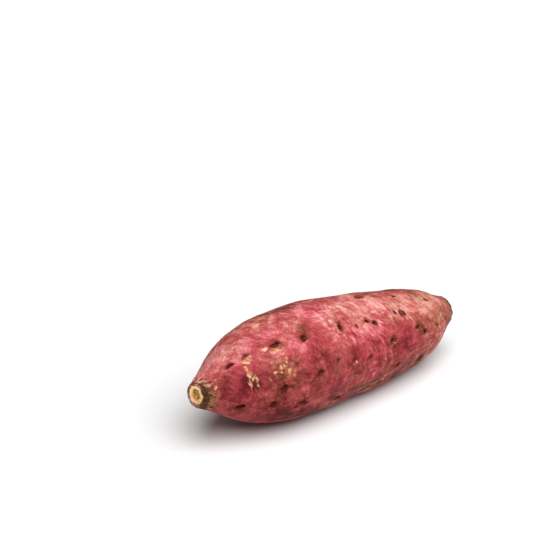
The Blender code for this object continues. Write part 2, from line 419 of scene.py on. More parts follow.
def colour_property(name, hex_colour, description):
    """A colour that a user may change, from an sRGB hex value."""
    kind = {"subtype": "COLOR", "size": 4, "min": 0, "max": 1}
    return FloatVectorProperty(name=name, description=description, default=linear(hex_colour), **kind)


def length_property(name, default, description):
    """A length in metres that a user may change."""
    kind = {"subtype": "DISTANCE", "unit": "LENGTH", "min": 0, "precision": 5}
    return FloatProperty(name=name, description=description, default=default, **kind)


def angle_property(name, degrees, description):
    """An angle that a user may change."""
    kind = {"subtype": "ANGLE", "unit": "ROTATION"}
    return FloatProperty(name=name, description=description, default=math.radians(degrees), **kind)


def number_property(name, default, description, unit="NONE"):
    """A strength or a lens that a user may change."""
    return FloatProperty(name=name, description=description, default=default, min=0, unit=unit)


class SkinSettings(bpy.types.PropertyGroup):
    """Sizes and colours of the skin."""

    lump_height: length_property("Lumps", 0.00028, "Height of the soft lumps that a hand feels")
    vein_height: length_property("Veins", 0.00012, "Height of the faint veins along the root")
    wrinkle_height: length_property("Wrinkles", 0.00010, "Height of the fine wrinkles round the root")
    eye_lip: length_property("Eye lips", 0.00025, "Height of the raised lip over each eye")
    grain_height: length_property("Grain", 0.00016, "Depth of the dry, fine grain of the skin")
    wine: colour_property("Wine", "#58181C", "The skin in its darkest specks")
    rose: colour_property("Rose", "#802E31", "The skin's darker red")
    pink: colour_property("Pink", "#A64C4A", "The skin's main red")
    blush: colour_property("Blush", "#CA8480", "Lighter skin where it rubbed")
    pale: colour_property("Pale", "#E2B8B0", "The lightest, dry skin")
    umber: colour_property("Umber", "#3C1A0C", "Brown skin in its darkest specks")
    chestnut: colour_property("Chestnut", "#683624", "Darker brown skin")
    tan: colour_property("Tan", "#925640", "Brown skin")
    sand: colour_property("Sand", "#BE8C74", "Lighter brown skin")
    straw: colour_property("Straw", "#DEB09A", "The lightest brown skin")
    rosy: colour_property("Rosy", "#FFE1F5", "What tints the skin where it is fresh and unrubbed")
    scuff: colour_property("Scuff", "#D2966A", "Scrapes through the skin")
    cork: colour_property("Cork", "#5E240E", "Cork round the eyes")
    # The eyes' own dark brown, and also a painted shade of the holes' depth.
    slit: colour_property("Slit", "#481A08", "The dark inside of the eyes")


class EndSettings(bpy.types.PropertyGroup):
    """Colours of the cut stem end and the snapped tail."""

    cream: colour_property("Cream", "#F8D8A4", "Cut flesh")
    dry: colour_property("Dry flesh", "#D69C5C", "The drier middle of the cut")
    pith: colour_property("Pith", "#6A3A0E", "The brown strands in the middle of the cut")
    bark: colour_property("Bark", "#33240F", "Dark bark round the stem end")
    olive: colour_property("Olive", "#7E5636", "Lighter bark and stripes")
    scab: colour_property("Scab", "#6E4A36", "The dried tail")


class StageSettings(bpy.types.PropertyGroup):
    """The floor, the light and the camera."""

    floor: colour_property("Floor", "#D9D9D9", "The pale floor")
    floor_size: length_property("Floor size", 8.0, "Length of the floor's sides")
    azimuth: angle_property("Azimuth", -42.15, "Turn of the camera round the root")
    elevation: angle_property("Elevation", 22.0, "Height of the camera as an angle")
    distance: length_property("Distance", 0.7529, "Depth of the aim point before the camera")
    aim_height: length_property("Aim height", 0.028, "Height of the aim point over the floor")
    focal_length: number_property("Focal length", 100.0, "The camera's lens, in millimetres", "CAMERA")
    light_strength: number_property("Softbox", 4.9, "Strength of the big overhead softbox")
    light_spread: angle_property("Softbox spread", 70.0, "How wide the softbox looks")
    sky_strength: number_property("Sky", 0.12, "Strength of the light from all round")


def smooth_step(low, high, value):
    """0 below low, 1 above high and a soft rise between."""
    t = np.clip((value - low) / (high - low), 0, 1)
    return t * t * (3 - 2 * t)


def outward(around):
    """Unit vectors away from the heart line, for angles in radians."""
    return np.stack([np.zeros_like(around), -np.sin(around), np.cos(around)], axis=-1)


def noise_at(points, octaves=1):
    """Soft noise from -1 to 1 at each row of points, with finer octaves on request."""
    if octaves == 1:
        return np.array([noise.noise(point) for point in points.tolist()])
    return np.array([noise.fractal(point, 0.8, 2.0, octaves) for point in points.tolist()])


def heart_line(tree, low, high):
    """The y and z of the root's heart as smooth curves along x, from rays to the solid's four sides."""
    places, middles = [], []
    for x in np.linspace(low.x + HEART_INSET, high.x - HEART_INSET, HEART_PLACES):
        middle = Vector((x, (low.y + high.y) / 2, (low.z + high.z) / 2))
        for _ in range(HEART_ROUNDS):
            for way in (Vector((0, 1, 0)), Vector((0, 0, 1))):
                ahead = tree.ray_cast(middle, way)[0]
                behind = tree.ray_cast(middle, -way)[0]
                middle = (ahead + behind) / 2
        places.append(x)
        middles.append((middle.y, middle.z))
    middles = np.array(middles)
    return [np.polyfit(places, middles[:, i], HEART_DEGREE) for i in (0, 1)]


def heart(curves, x):
    """Points of the heart line at each x."""
    return np.stack([x, np.polyval(curves[0], x), np.polyval(curves[1], x)], axis=-1)


def cast_in(tree, curves, x, around):
    """How far from the heart line a ray from outside meets the solid, or 0 where it passes by."""
    middle = Vector(heart(curves, np.array([x]))[0])
    out = Vector((0.0, -math.sin(around), math.cos(around)))
    distance = tree.ray_cast(middle + out * FAR_OUT, -out)[3]
    return 0.0 if distance is None else FAR_OUT - distance


def rim_places(tree, curves, inside, outside, least, angles):
    """Where along x the sides end, for each angle: from there they lie nearer the heart line than least."""
    places = []
    for around in angles:
        near, far = inside, outside
        for _ in range(RIM_HALVINGS):
            middle = (near + far) / 2
            if cast_in(tree, curves, middle, around) > least:
                near = middle
            else:
                far = middle
        places.append(near)
    return np.array(places)


def averaged(field, sigma, axis):
    """A soft average of a field along one axis. Round the root it wraps; along it the end slopes stay."""
    half = int(3 * sigma) + 1
    weights = np.exp(-0.5 * (np.arange(-half, half + 1) / sigma) ** 2)
    weights /= weights.sum()
    field = np.moveaxis(field, axis, 0)
    if axis == 1:
        padded = np.concatenate([field[-half:], field, field[:half]])
    else:
        before = 2 * field[:1] - field[half:0:-1]
        after = 2 * field[-1:] - field[-2 : -half - 2 : -1]
        padded = np.concatenate([before, field, after])
    result = sum(w * padded[i : i + len(field)] for i, w in enumerate(weights))
    return np.moveaxis(result, 0, axis)


class Root:
    """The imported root's smooth form on a fine grid, twice as close as the skin's cells, and its eyes."""

    def __init__(self, solid):
        depsgraph = bpy.context.evaluated_depsgraph_get()
        tree = BVHTree.FromObject(solid, depsgraph)
        low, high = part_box(NODE)
        self.curves = heart_line(tree, low, high)
        self.length = high.x - low.x
        self.around = np.linspace(0, 2 * math.pi, 2 * CELLS_AROUND, endpoint=False)
        self.share = np.linspace(0, 1, 2 * CELLS_ALONG + 1)
        rims = []
        for end, way, least in ((low.x, 1, STEM_RIM_RADIUS), (high.x, -1, TAIL_RIM_RADIUS)):
            inside, outside = end + way * RIM_SEARCH_IN, end - way * RIM_SEARCH_OUT
            rims.append(rim_places(tree, self.curves, inside, outside, least, self.around))
        stem, tail = averaged(np.array(rims), RIM_SOFTENING, 1)
        self.x = stem + self.share[:, None] * (tail - stem)
        rays_x = np.clip(self.x, stem + RIM_INSET, tail - RIM_INSET)
        rays = [[cast_in(tree, self.curves, *ray) for ray in zip(row, self.around)] for row in rays_x]
        radius = np.array(rays)
        self.find_form(radius)
        self.eyes = self.find_eyes(radius)

    def find_form(self, radius):
        """Averages the facets away, with the eyes filled in."""
        along = self.length / (2 * CELLS_ALONG)
        sigma_along = FACET_LENGTH / along
        sigma_around = FACET_DEGREES / 360 * 2 * CELLS_AROUND
        near = averaged(averaged(radius, EYE_REACH / along, 0), EYE_REACH / along, 1)
        self.dent = near - radius
        self.dent[[0, -1]] = 0.0
        clear = (self.dent < EYE_STEP).astype(float)
        clear = (averaged(averaged(clear, CLEAR_CELLS, 0), CLEAR_CELLS, 1) > CLEAR_SHARE).astype(float)
        weight = averaged(averaged(clear, sigma_along, 0), sigma_around, 1)
        total = averaged(averaged(clear * radius, sigma_along, 0), sigma_around, 1)
        filled = np.where(clear > 0.5, radius, total / np.maximum(weight, LEAST_CLEAR))
        self.radius = averaged(averaged(filled, sigma_along, 0), sigma_around, 1)
        self.point = heart(self.curves, self.x) + outward(self.around) * self.radius[..., None]
        along_step = np.gradient(self.point, axis=0)
        wrapped = np.concatenate([self.point[:, -1:], self.point, self.point[:, :1]], axis=1)
        around_step = (wrapped[:, 2:] - wrapped[:, :-2]) / 2
        normal = np.cross(around_step, along_step)
        normal /= np.linalg.norm(normal, axis=-1, keepdims=True)
        sign = np.sign((normal * outward(self.around)).sum(-1, keepdims=True))
        self.normal = normal * sign

    def find_eyes(self, radius):
        """Groups the dents into eyes, each with its middle, its slit's direction and its length."""
        rows, columns = self.dent.shape
        dented = self.dent > EYE_STEP
        seen = np.zeros_like(dented)
        eyes = []
        for start in zip(*np.nonzero(dented)):
            if seen[start]:
                continue
            seen[start] = True
            group, waiting = [], [start]
            while waiting:
                k, j = waiting.pop()
                group.append((k, j))
                for near in ((k + 1, j), (k - 1, j), (k, (j + 1) % columns), (k, (j - 1) % columns)):
                    if 0 <= near[0] < rows and dented[near] and not seen[near]:
                        seen[near] = True
                        waiting.append(near)
            if len(group) >= EYE_CELLS:
                eyes.append(self.measure_eye(np.array(group)))
        return eyes

    def measure_eye(self, group):
        """An eye from the grid places that dip into it."""
        k, j = group[:, 0], group[:, 1]
        weight = self.dent[k, j][:, None]
        points = self.point[k, j]
        middle = (points * weight).sum(0) / weight.sum()
        nearest = np.argmin(((points - middle) ** 2).sum(1))
        out = self.normal[k[nearest], j[nearest]]
        offsets = points - middle
        offsets -= (offsets @ out)[:, None] * out
        values, vectors = np.linalg.eigh(offsets.T @ (offsets * weight) / weight.sum())
        slit = vectors[:, 2]
        down = np.cross(out, (1.0, 0.0, 0.0))
        lean = slit[0] if abs(slit[0]) > 0.5 else slit @ down
        slit = slit * (1 if lean > 0 else -1)
        return {
            "middle": middle,
            "out": out,
            "slit": slit,
            "side": np.cross(out, slit),
            "length": np.ptp(offsets @ slit),
            "share": self.share[k[nearest]],
            "degrees": math.degrees(self.around[j[nearest]]),
        }


def away_mm(share, degrees, root_length, mid_share, mid_degrees, radius):
    """How far a place lies from another, along the root and round it, in millimetres."""
    turn = (degrees - mid_degrees + 180) % 360 - 180
    return (share - mid_share) * root_length / MM, np.radians(turn) * radius / MM


def mark_ring(share, degrees, radius, root_length, mark):
    """How far out of a mark places lie: 0 in its middle and 1 on its edge."""
    mid_share, mid_degrees, length_mm, width_mm, turned = mark
    along, around = away_mm(share, degrees, root_length, mid_share, mid_degrees, radius)
    turn = math.radians(turned)
    lengthwise = around * math.cos(turn) + along * math.sin(turn)
    across = along * math.cos(turn) - around * math.sin(turn)
    return np.hypot(lengthwise / (length_mm / 2), across / (width_mm / 2))


def give_looks(eyes, root_length):
    """Each eye takes its look from EYES_IN_VIEW, or a chance look where none there is near."""
    chance = random.Random(EYE_SEED)
    for eye in sorted(eyes, key=lambda one: (one["share"], one["degrees"])):
        look = (
            chance.uniform(0.6, 1.0),
            chance.uniform(0.0, 0.9),
            chance.uniform(0.2, 0.9),
            chance.choice((0.0, 0.1, 0.4, 0.9)),
            chance.choice((1, 1, -1)),
        )
        nearest = LOOK_REACH_MM
        for share, degrees, *seen in EYES_IN_VIEW:
            along, around = away_mm(eye["share"], eye["degrees"], root_length, share, degrees, MEAN_RADIUS)
            if math.hypot(along, around) < nearest:
                nearest = math.hypot(along, around)
                look = tuple(seen)
        eye["dark"], eye["open"], eye["cork"], eye["tan"], eye["brow"] = look
        eye["bow"] = chance.uniform(0.05, 0.30)
        eye["width"] = 0.52 + 0.26 * eye["open"]


class Skin:
    """The vertices of the skin's sides with what is painted and raised on them."""

    # What is painted on every point: the skin's tones and patterns, its marks, and the two ends.
    MASKS = ("tone", "brown", "rosy", "highlight_lined", "veined", "slit", "cork", "scrape")
    MASKS += ("bark", "stripe", "scab", "flesh", "dry", "pith")

    def __init__(self, root, rows, columns, settings):
        self.root = root
        self.point = root.point[rows, columns]
        self.normal = root.normal[rows, columns]
        self.share = root.share[rows]
        self.degrees = np.degrees(root.around[columns])
        self.radius = root.radius[rows, columns]
        self.height = np.zeros(len(rows))
        self.mask = {name: np.zeros(len(rows)) for name in self.MASKS}
        self.lay = self.growth_place()
        self.raise_lumps(settings)
        self.raise_wrinkles(settings)
        self.raise_creases()
        self.mark_skin()
        self.sink_eyes(settings)
        self.paint_patches()
        self.roughen_ends()

    def growth_place(self):
        """Places in millimetres laid along and round the root, bowed as the growth lines are."""
        lay = outward(np.radians(self.degrees)) * self.radius[:, None] / MM
        bow = GROWTH_BOW * np.sin(np.radians(self.degrees - GROWTH_BOW_DEGREES))
        lay[:, 0] = (self.share * self.root.length - bow) / MM
        return lay

    def straight(self, along_mm, around_mm):
        """Noise coordinates with one step each along_mm along the root and around_mm round it."""
        return self.lay / (along_mm, around_mm, around_mm)

    def raise_lumps(self, settings):
        self.height += settings.lump_height * noise_at(self.point / (13 * MM))
        self.height += 0.45 * settings.lump_height * noise_at(self.point / (6 * MM) + 7.0)
        self.height += settings.vein_height * noise_at(self.straight(46, 5.5) + 3.0)

    def raise_wrinkles(self, settings):
        """Fine ridges round the root, stronger in some places than others."""
        bands = noise_at(self.straight(2.0, 7.5), 2)
        dashes = noise_at(self.straight(2.6, 2.2) + 11.0, 2)
        where = smooth_step(-0.35, 0.45, noise_at(self.point / (17 * MM) + 5.0))
        fine = (1 - 2.2 * np.abs(bands)) * (0.35 + 0.65 * where) + 0.8 * dashes
        # The tone follows the wrinkles: paler on their ridges, where they rubbed, and darker between them as
        # painted shade.
        self.mask["tone"] += 0.10 * fine
        self.height += settings.wrinkle_height * fine

    def raise_creases(self):
        for share, first, last, bow, height_mm in CREASES:
            half = ((last - first) % 360) / 2
            turn = (self.degrees - first - half + 180) % 360 - 180
            reach = np.clip(np.abs(turn) / half, 0, 1)
            along = (self.share - share + bow * (turn / half) ** 2 * 0.5) * self.root.length
            ridge = np.exp(-((along / CREASE_WIDTH) ** 2)) * (1 - reach**2)
            ridge -= 0.7 * np.exp(-(((along - 1.7 * CREASE_WIDTH) / CREASE_WIDTH) ** 2)) * (1 - reach**2)
            self.height += height_mm * MM * ridge
            # The crease is painted paler as a highlight along its ridge, and the groove beside it darker as
            # painted shade.
            self.mask["tone"] += 0.14 * ridge

    def sink_eyes(self, settings):
        for eye in self.root.eyes:
            offset = self.point - eye["middle"]
            reach = eye["length"] * 1.2 + 2.5 * MM
            near = np.nonzero((offset**2).sum(1) < reach**2)[0]
            along = offset[near] @ eye["slit"]
            across = offset[near] @ eye["side"] * eye["brow"]
            half = eye["length"] * 0.5 + 0.5 * MM
            half_width = half * eye["width"]
            spots = self.point[near] / MM
            middle = eye["middle"][None] / MM
            wobble = 0.50 * (noise_at(spots / 1.7) - noise_at(middle / 1.7))
            wobble += 0.20 * noise_at(spots / 0.8 + 3.0)
            across = across + eye["bow"] * along**2 / half
            ring = np.hypot(along / half, across / half_width) + wobble
            inside = np.clip(1 - ring, 0, 1)
            steep = across / half_width
            deep = smooth_step(0.0, 0.45, inside)
            slit = deep * (1 - eye["open"] * (1 - smooth_step(-0.1, 0.45, steep)))
            depth = eye["length"] * (0.08 * deep + 0.26 * slit)
            brow = 0.45 + 0.55 * smooth_step(-0.6, 0.6, steep)
            lip = np.exp(-(((ring - 1.25) / 0.28) ** 2)) * brow
            self.height[near] += settings.eye_lip * lip - depth
            torn = noise_at(spots / 2.4 + 9.0, 2)
            halo = smooth_step(1.9, 0.8, ring + 0.7 * torn) * (1 - slit)
            floor = deep * (1 - slit)
            paint = self.mask
            paint["slit"][near] = np.maximum(paint["slit"][near], slit * eye["dark"])
            paint["cork"][near] = np.maximum(paint["cork"][near], np.maximum(halo, floor) * eye["cork"])
            rubbed = np.maximum(floor, 0.7 * halo * smooth_step(0.5, -0.5, steep))
            paint["scrape"][near] = np.maximum(paint["scrape"][near], rubbed * eye["tan"])
            # A pale rim on each eye's lower lip is a painted highlight, and the skin round the eye is
            # painted darker as shade round its dent.
            edge = np.exp(-(((ring - 1.45) / 0.25) ** 2)) * smooth_step(0.4, -0.7, steep)
            paint["tone"][near] += 0.26 * edge - 0.12 * smooth_step(2.4, 1.0, ring)

    def mark_skin(self):
        """Scrapes, dabs of cork and pits: those in view, and chance ones behind."""
        chance = random.Random(MARK_SEED)
        for name, seen, count_behind, torn, depth_mm in MARKS:
            behind = [
                (
                    chance.uniform(0.08, 0.92),
                    chance.uniform(150, 350),
                    chance.uniform(2.5, 6.5),
                    chance.uniform(0.8, 1.7),
                    chance.uniform(-80, 80),
                )
                for _ in range(count_behind)
            ]
            for one in list(seen) + behind:
                ring = mark_ring(self.share, self.degrees, self.radius, self.root.length, one)
                near = np.nonzero(ring < MARK_REACH)[0]
                ring = ring[near]
                ring += torn * noise_at(self.point[near] / (MARK_TEAR_MM * MM) + 6.0)
                mark = smooth_step(1.55, 0.15, ring)
                self.mask[name][near] = np.maximum(self.mask[name][near], mark)
                self.height[near] -= depth_mm * MM * mark

    def fade_out(self, share, degrees, half_along, half_around):
        """1 in the middle of a patch, a half on its edge, and less further out."""
        along, around = away_mm(self.share, self.degrees, self.root.length, share, degrees, self.radius)
        return np.exp(-0.7 * ((along / half_along) ** 2 + (around / half_around) ** 2))

    def paint_patches(self):
        """Paler, darker and browner patches, some of them painted shade, shadow and highlight, and where the
        growth lines with their painted highlight, rosy skin and dry veins show.
        """
        uneven = 1 + 0.7 * noise_at(self.point / (8 * MM) + 13.0, 2)
        for *place, paler, browner in PATCHES:
            patch = self.fade_out(*place) * uneven
            self.mask["tone"] += paler * patch
            self.mask["brown"] = np.maximum(self.mask["brown"], browner * patch)
        kinds = (("highlight_lined", 21, HIGHLIGHT_LINE_PATCHES), ("rosy", 16, ROSY_PATCHES), ("veined", 30, VEINED_PATCHES))
        for i, (name, size_mm, patches) in enumerate(kinds):
            where = 0.8 * smooth_step(0.0, 0.6, noise_at(self.point / (size_mm * MM) + 2.0 + 5 * i))
            for patch in patches:
                where = np.maximum(where, self.fade_out(*patch) * uneven)
            self.mask[name] = where

    def roughen_ends(self):
        """Cracked bark behind the stem's rim, and a scabby edge at the tail."""
        from_stem = self.share * self.root.length
        from_tail = (1 - self.share) * self.root.length
        around = self.lay * (0, 1, 1) / 1.8 + self.lay * (0.16, 0, 0)
        stripes = noise_at(around + 23.0, 2)
        front = 0.5 + 0.5 * np.sin(np.radians(self.degrees + 5))
        torn = noise_at(self.point / (2.6 * MM) + 19.0, 2)
        bark_length = BARK_LENGTH * (0.04 + 0.36 * front**2 + 0.20 * stripes + 0.20 * torn)
        blotches = noise_at(self.point / (1.5 * MM) + 17.0, 2)
        self.mask["bark"] = smooth_step(1.0, 0.35, from_stem / np.maximum(bark_length, 0.0006))
        self.mask["bark"] *= 0.85 + 1.0 * blotches
        fade = smooth_step(BARK_LENGTH * (0.5 + 1.1 * front**2), 0.0010, from_stem)
        self.mask["stripe"] = 1.3 * fade * front * smooth_step(-0.10, 0.35, 0.5 * stripes + blotches)
        self.mask["brown"] = np.maximum(self.mask["brown"], 1.3 * fade * (0.15 + 0.85 * front**2))
        self.mask["tone"] += fade * (0.35 * noise_at(around * 1.3 + 31.0, 2) + 0.90 * blotches)
        flakes = noise_at(self.point / (1.1 * MM), 2)
        self.height += 0.22 * MM * flakes * self.mask["bark"] + 0.10 * MM * stripes * fade
        scab_length = TAIL_BARK_LENGTH * (0.34 + 0.30 * stripes)
        self.mask["scab"] = smooth_step(1.0, 0.3, from_tail / np.maximum(scab_length, 0.0008))
        lumps = noise_at(self.point / (2.2 * MM) + 4.0, 2)
        near_tail = smooth_step(TAIL_BARK_LENGTH, 0.0, from_tail)
        self.height += 0.14 * MM * lumps * near_tail
        for degrees, width_mm, height_mm in TAIL_KNOBS:
            turn = np.radians((self.degrees - degrees + 180) % 360 - 180) * self.radius / MM
            knob = np.exp(-((turn / width_mm * 1.6) ** 2) - (from_tail / MM / width_mm * 1.4) ** 2)
            self.height += height_mm * MM * knob
            self.mask["bark"] = np.maximum(self.mask["bark"], smooth_step(0.35, 0.85, knob))
        rim = smooth_step(0.0016, 0.0004, from_tail) * (0.8 + 0.5 * stripes)
        self.mask["bark"] = np.maximum(self.mask["bark"], rim)
        self.mask["brown"] = np.maximum(self.mask["brown"], 0.8 * smooth_step(0.012, 0.001, from_tail))

    def placed(self):
        """The finished points. The belly stays flat where it rests."""
        points = self.point + self.normal * self.height[:, None]
        points[:, 2] = np.maximum(points[:, 2], 0.0)
        return points


def end_face(rim, profile, way):
    """The rings that close an end inside its rim, their shares of the rim's radius, and the middle."""
    steps = np.linspace(1, 0, END_RINGS + 1)[1:-1]
    centre = rim.mean(axis=0)
    places = [place for place, _ in profile[::-1]]
    heights = [height for _, height in profile[::-1]]
    rings = []
    for step in steps:
        ring = centre + (rim - centre) * step
        ring[:, 0] += way * np.interp(step, places, heights)
        rings.append(ring)
    return np.array(rings), steps, centre + (way * heights[0], 0, 0)


def skin_faces(near_eye):
    """Faces over the fine grid's places.

    A cell near an eye is cut in four, and its neighbours take in the extra points on their edges."""
    rows, columns = near_eye.shape
    width = 2 * columns
    faces = []

    def fine(row, column):
        return 0 <= row < rows and near_eye[row, column % columns]

    for row in range(rows):
        for column in range(columns):
            k, j = 2 * row, 2 * column
            right = (j + 2) % width
            if near_eye[row, column]:
                for dk in (0, 1):
                    for a, b in ((j, j + 1), (j + 1, right)):
                        faces.append(((k + dk, a), (k + dk, b), (k + dk + 1, b), (k + dk + 1, a)))
                continue
            face = [(k, j)]
            if fine(row - 1, column):
                face.append((k, j + 1))
            face.append((k, right))
            if fine(row, column + 1):
                face.append((k + 1, right))
            face.append((k + 2, right))
            if fine(row + 1, column):
                face.append((k + 2, j + 1))
            face.append((k + 2, j))
            if fine(row, column - 1):
                face.append((k + 1, j))
            faces.append(tuple(face))
    return [[k * width + j for k, j in face] for face in faces]


def cells_near_eyes(root):
    """Which of the skin's cells lie at an eye, or at a scrape or a dab in view."""
    middles = root.point[1::2, 1::2]
    near = np.zeros(middles.shape[:2], bool)
    for eye in root.eyes:
        reach = eye["length"] * 0.62 + 0.9 * MM
        near |= ((middles - eye["middle"]) ** 2).sum(-1) < reach**2
    share, degrees = np.meshgrid(root.share[1::2], np.degrees(root.around[1::2]), indexing="ij")
    for mark in SCRAPES + DABS:
        near |= mark_ring(share, degrees, root.radius[1::2, 1::2], root.length, mark) < 1.3
    return near


def paint_end(end, points, share, middle):
    """What is painted on an end face, and its fine relief outwards."""
    offsets = (points - middle) / MM
    paint = {name: np.zeros(len(share)) for name in Skin.MASKS}
    around = np.arctan2(offsets[:, 1], offsets[:, 2])
    wave = noise_at(np.stack([np.cos(around) * 1.6, np.sin(around) * 1.6, share * 0], axis=1), 2)
    fibres = np.stack([share * 1.5, np.cos(around) * 6, np.sin(around) * 6], axis=1)
    streaks = noise_at(fibres, 2)
    blotches = noise_at(offsets / 1.5 + 2.0, 2)
    inside = smooth_step(1.0, 0.9, share)
    if end == "stem":
        to_front = -offsets[:, 1] / 6 - 0.5 * np.abs(offsets[:, 2]) / 6
        paint["bark"] = smooth_step(-0.5, 0.5, to_front + 0.6 * wave + 0.3 * blotches)
        paint["bark"] *= 0.9 + 0.8 * blotches
        paint["brown"] += 1.2
        paint["tone"] += 0.12 + 0.25 * blotches
        off_flesh = share - 0.004 * offsets[:, 1] - 0.012 * offsets[:, 2] + 0.09 * wave
        paint["flesh"] = smooth_step(FLESH_SHARE + 0.03, FLESH_SHARE - 0.03, off_flesh)
        paint["dry"] = smooth_step(0.66, 0.30, share + 0.20 * blotches + 0.10 * streaks)
        off_middle = np.hypot(offsets[:, 1] * 1.15 - 0.2, offsets[:, 2] * 0.85 - 0.4) / 2.1 + 0.25 * wave
        loop = np.exp(-(((off_middle - 0.85 + 0.20 * blotches) / 0.26) ** 2))
        core = 0.35 * smooth_step(0.8, 0.2, off_middle)
        paint["pith"] = np.maximum(loop, core) * smooth_step(-0.70, -0.10, blotches + 0.4 * streaks)
        relief = 0.10 * streaks + 0.12 * blotches - 0.30 * paint["pith"]
    else:
        paint["scab"] += 1.0
        paint["bark"] = smooth_step(0.0, 0.5, blotches)
        relief = 0.15 * streaks + 0.32 * noise_at(offsets / 2.6, 3)
    return paint, inside * relief * MM


def grow_skin(settings):
    """The whole root as one closed mesh: points, faces, paint, and where each point lies in its growth."""
    root = Root(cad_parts[NODE])
    give_looks(root.eyes, root.length)
    faces = skin_faces(cells_near_eyes(root))
    width = 2 * CELLS_AROUND
    used = np.unique(np.concatenate([np.array(face) for face in faces]))
    order = np.full(width * (2 * CELLS_ALONG + 1), -1)
    order[used] = np.arange(len(used))
    skin = Skin(root, used // width, used % width, settings)
    faces = [[int(order[i]) for i in face] for face in faces]
    points, paints = [skin.placed()], [skin.mask]
    count = len(used)
    for end, profile, way in (("stem", STEM_PROFILE, -1), ("tail", TAIL_PROFILE, 1)):
        row = 0 if way < 0 else 2 * CELLS_ALONG
        edge = order[row * width + 2 * np.arange(CELLS_AROUND)]
        rings, steps, middle = end_face(points[0][edge], profile, way)
        flat = np.vstack([rings.reshape(-1, 3), middle])
        share = np.append(np.repeat(steps, CELLS_AROUND), 0.0)
        paint, relief = paint_end(end, flat, share, middle)
        flat[:, 0] += way * relief
        inner = count + np.arange(len(rings) * CELLS_AROUND).reshape(len(rings), CELLS_AROUND)
        ring_ids = np.vstack([edge, inner])
        turned = np.roll(ring_ids, -1, axis=1)
        quads = np.stack([ring_ids[:-1], turned[:-1], turned[1:], ring_ids[1:]], axis=-1).reshape(-1, 4)
        faces += quads.tolist()
        faces += [[int(a), int(b), count + len(flat) - 1] for a, b in zip(ring_ids[-1], turned[-1])]
        points.append(flat)
        paints.append(paint)
        count += len(flat)
    paint = {name: np.concatenate([part[name] for part in paints]) for name in Skin.MASKS}
    points = np.concatenate(points)
    lay = np.concatenate([skin.lay, points[len(used) :] / MM])
    return points, faces, paint, lay


def make_mesh_object(name, points, faces, material):
    mesh = bpy.data.meshes.new(name)
    mesh.from_pydata(points.tolist(), [], faces)
    mesh.validate()
    mesh.shade_smooth()
    mesh.materials.append(material)
    made = bpy.data.objects.new(name, mesh)
    bpy.context.scene.collection.objects.link(made)
    return made


def face_outwards(made):
    """Turns every face of a closed mesh to look out."""
    mesh = bmesh.new()
    mesh.from_mesh(made.data)
    bmesh.ops.recalc_face_normals(mesh, faces=mesh.faces)
    mesh.to_mesh(made.data)
    mesh.free()


def node(tree, kind, inputs=None, output=0, **settings):
    """Adds a node with its settings, its inputs' values or links, and returns one of its outputs."""
    made = tree.nodes.new(kind)
    for name, value in settings.items():
        setattr(made, name, value)
    for name, value in (inputs or {}).items():
        if isinstance(value, bpy.types.NodeSocket):
            tree.links.new(value, made.inputs[name])
        else:
            made.inputs[name].default_value = value
    return made.outputs[output]


# The skin's patterns of noise: name, how many mm across its blotches are, detail, roughness, stretch each
# way, whether it follows the growth of the root, and how far it curls.
PATTERNS = (
    ("mottled", 11.0, 4.0, 0.90, (1.0, 1.0, 1.0), False, 0.5),
    ("streaks", 2.0, 2.0, 0.75, (1.0, 0.40, 0.40), True, 0.8),
    ("veins", 1.7, 2.0, 0.70, (0.16, 1.0, 1.0), True, 0.0),
    ("grain", 0.85, 1.0, 0.70, (1.2, 0.9, 0.9), False, 0.0),
    ("flecks", 2.6, 2.0, 0.60, (1.3, 0.7, 0.7), True, 0.0),
    ("clouds", 7.0, 3.0, 0.70, (1.0, 1.0, 1.0), False, 0.0),
    ("bowed", 6.0, 1.0, 0.60, (1.7, 0.30, 0.30), True, 0.0),
)
# Soft masks: name, the values that add up to it with their weights, where it starts, where it is full, and
# how much it covers there.
SOFT_MASKS = (
    ("rising", {"bowed": 1.0}, 0.455, 0.50, 1.0),
    ("falling", {"bowed": 1.0}, 0.535, 0.50, 1.0),
    ("rosier", {"rosy": 1.0, "clouds": -0.8, "mottled": 0.6}, -0.10, 0.70, 1.0),
    ("browner", {"brown": 1.0, "clouds": 1.6, "grain": 0.4, "along_veins": 1.6}, 1.06, 1.75, 1.0),
    ("tan_flecks", {"flecks": 1.0}, 0.60, 0.82, 0.8),
    ("corky", {"cork": 1.0, "flecks": 0.8, "grain": 0.5}, 0.70, 1.65, 0.8),
    ("scraped", {"scrape": 1.0, "flecks": 1.2, "grain": 0.8}, 1.16, 1.90, 0.9),
    ("scuff_shade", {"flecks": 1.0}, 0.30, 0.75, 1.0),
    ("dark_slit", {"slit": 1.0, "grain": 0.3}, 0.30, 0.80, 1.0),
    ("striped", {"stripe": 1.0, "grain": 0.6, "flecks": 0.6}, 0.65, 1.50, 0.8),
    ("scabby", {"scab": 1.0, "flecks": 0.6}, 0.60, 1.05, 0.9),
    ("bark_ring", {"bark": 1.0, "grain": 1.2, "flecks": 0.8}, 1.10, 2.0, 0.95),
)
# The middle tone of the skin, from 0 for wine to 1 for pale, and how far each pattern shifts it.
MIDDLE_TONE = 0.47
MOTTLING = {"mottled": 1.30, "streaks": 0.27, "grain": 0.25}
MARKINGS = {"tone": 1.0, "highlight_lines": 0.15, "along_veins": 1.0}
# How far each pattern lifts the finest relief, as shares of the grain's height.
RELIEF = {"mottled": 1.0, "streaks": 0.4, "grain": 0.5}
SKIN_ROUGHNESS = (0.44, 0.66)
SKIN_IOR = 1.40
SKIN_GLOSS = 0.10


